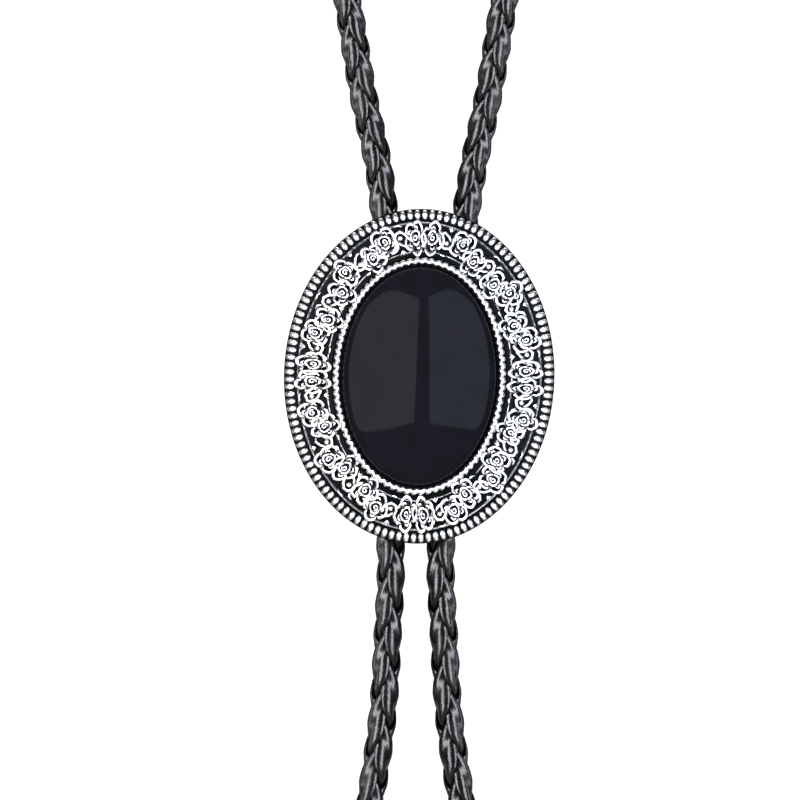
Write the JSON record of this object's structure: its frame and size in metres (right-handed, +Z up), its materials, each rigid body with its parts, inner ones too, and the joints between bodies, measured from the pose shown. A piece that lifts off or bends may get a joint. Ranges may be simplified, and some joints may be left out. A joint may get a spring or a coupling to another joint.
{
  "type": "bolo tie",
  "caption": "Bolo tie: an oval cast slide with a rose garland round a domed black stone, clipped to a braided leather cord with metal tips.",
  "frame": {"origin": "on the nape, where the inside of the cord rests on the back of the neck", "axes": "+Z up, -Y out of the slide's face, towards a viewer; +X is that viewer's right"},
  "size_m": [0.1221, 0.1408, 0.4087],
  "materials": {
    "antiqued_silver": "zinc alloy, silver plated, with black patina in the recesses",
    "black_stone": "black onyx, polished",
    "nickel_steel": "nickel plated, plain",
    "black_leather": "braided, glossy",
    "plain_silver": "silver plated, polished"
  },
  "bodies": {
    "root": {"slide_plate": "antiqued_silver", "cabochon": "black_stone", "cord_clip": "nickel_steel", "neck_cord": "black_leather", "tail_cord_left": "black_leather", "tail_cord_right": "black_leather", "cord_tip_left": "plain_silver", "cord_tip_right": "plain_silver"}
  },
  "joints": []
}
